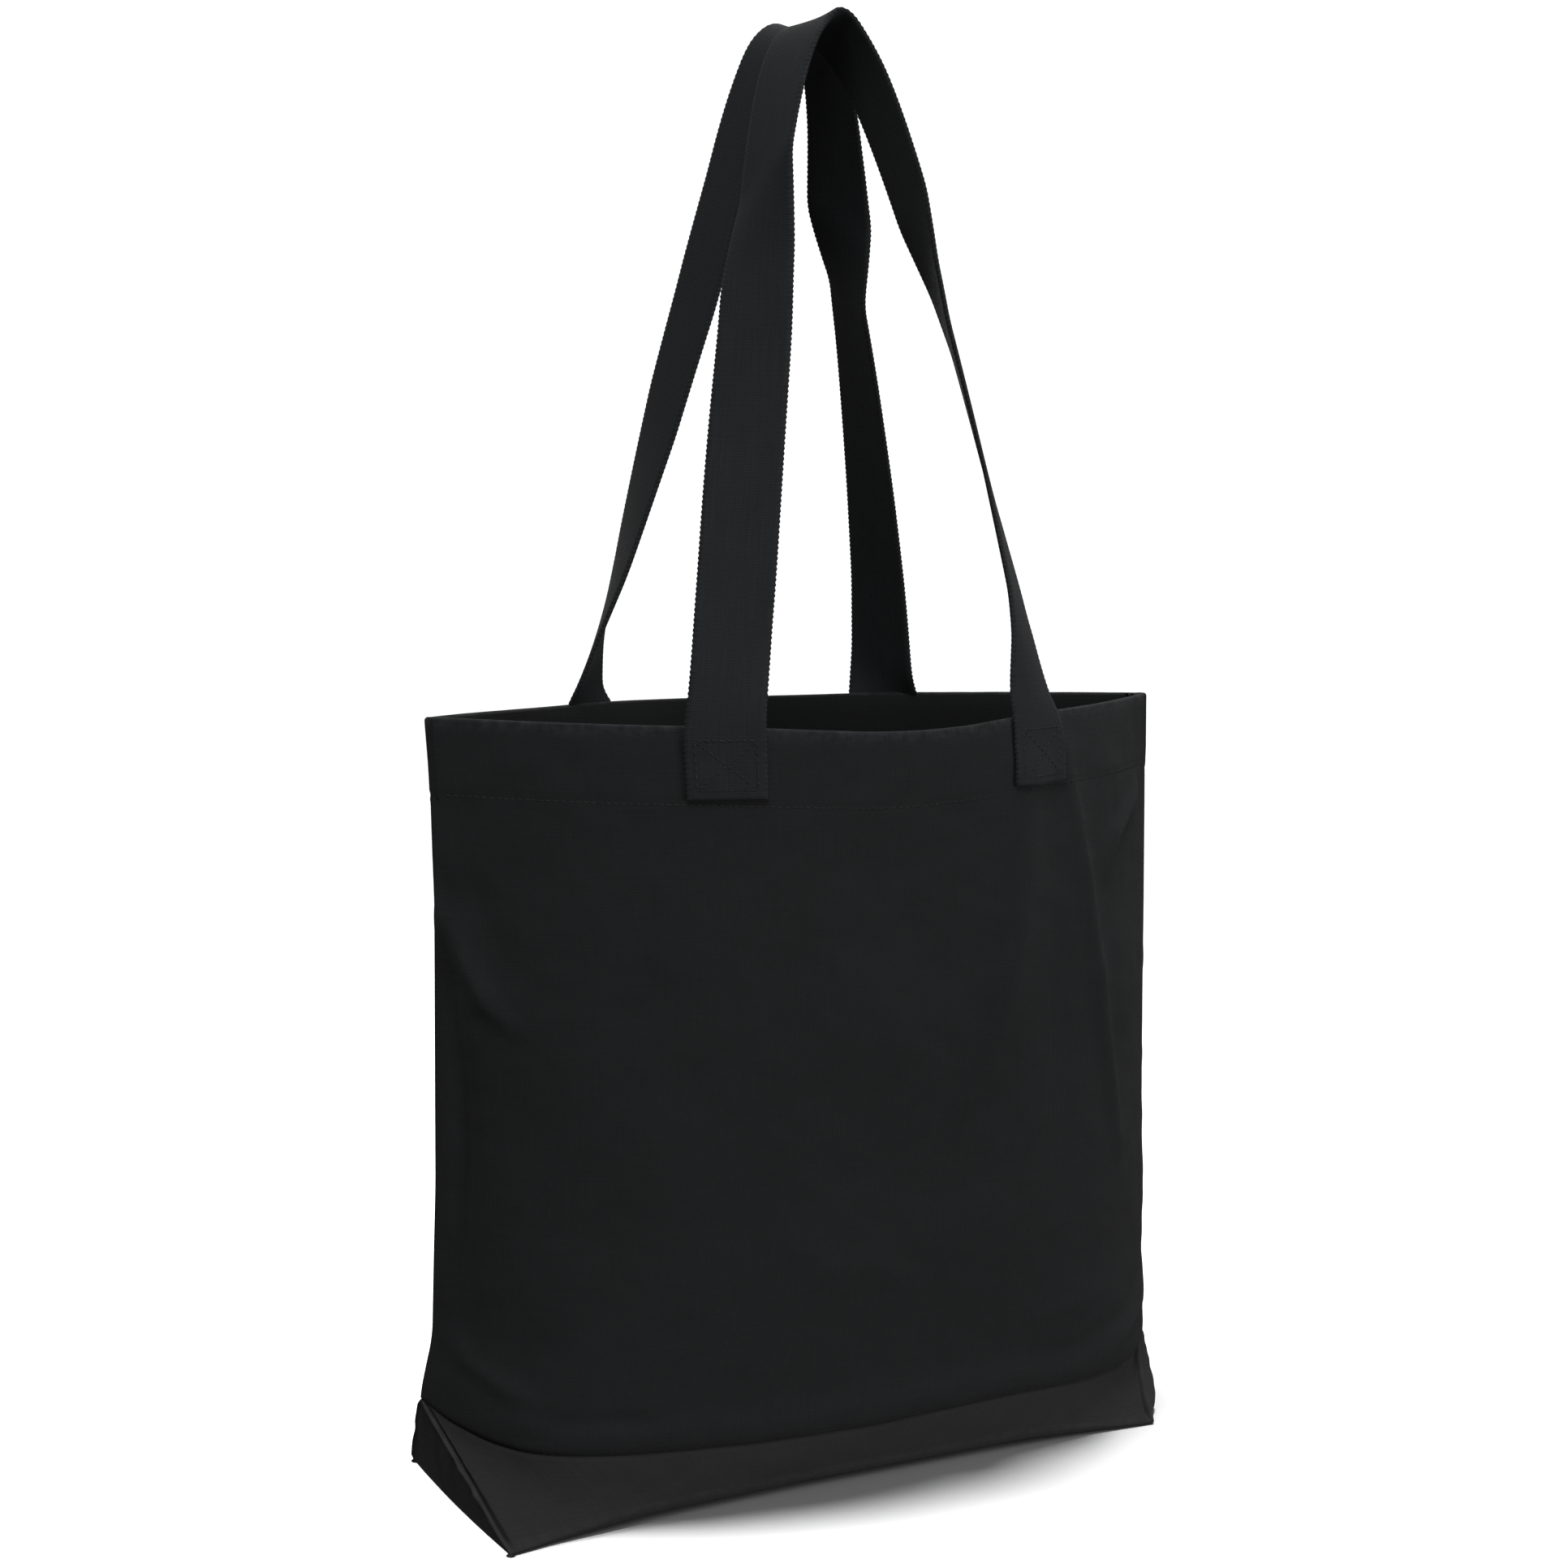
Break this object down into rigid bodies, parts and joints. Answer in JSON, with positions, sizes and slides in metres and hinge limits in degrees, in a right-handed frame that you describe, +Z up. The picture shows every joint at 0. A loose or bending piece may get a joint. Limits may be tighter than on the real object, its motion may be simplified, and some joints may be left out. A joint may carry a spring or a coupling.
{
  "type": "tote bag",
  "caption": "Open-topped canvas tote bag with a boxed bottom, a hemmed mouth and two webbing handles that fold down over the front and the back.",
  "frame": {"origin": "middle of the base, on the surface that the bag stands on", "axes": "+Z up, +X along the bag's width, to the right seen from its front, -Y out of the front panel"},
  "size_m": [0.363, 0.16, 0.6358],
  "materials": {
    "canvas": "black cotton canvas, plain weave, matt",
    "webbing": "black cotton webbing, heavy plain weave with firm edges",
    "thread": "black sewing thread, slight sheen"
  },
  "bodies": {
    "bag": {"back_bottom_seam_stitching": "thread", "back_handle_left_end": "webbing", "back_handle_right_end": "webbing", "back_hem_stitching": "thread", "back_left_box_stitching": "thread", "back_panel": "canvas", "back_right_box_stitching": "thread", "bottom_panel": "canvas", "front_bottom_seam_stitching": "thread", "front_handle_left_end": "webbing", "front_handle_right_end": "webbing", "front_hem_stitching": "thread", "front_left_box_stitching": "thread", "front_panel": "canvas", "front_right_box_stitching": "thread", "left_corner_seam_stitching": "thread", "left_side_seam_stitching": "thread", "right_corner_seam_stitching": "thread", "right_side_seam_stitching": "thread"},
    "front_handle": {"front_handle": "webbing"},
    "back_handle": {"back_handle": "webbing"}
  },
  "joints": [
    {"name": "front_handle_fold", "type": "hinge", "parent": "bag", "child": "front_handle", "pos_m": [0, -0.07406, 0.338], "axis": [1, 0, 0], "range_deg": [0, 160]},
    {"name": "back_handle_fold", "type": "hinge", "parent": "bag", "child": "back_handle", "pos_m": [0, 0.07406, 0.338], "axis": [-1, 0, 0], "range_deg": [0, 160]}
  ]
}
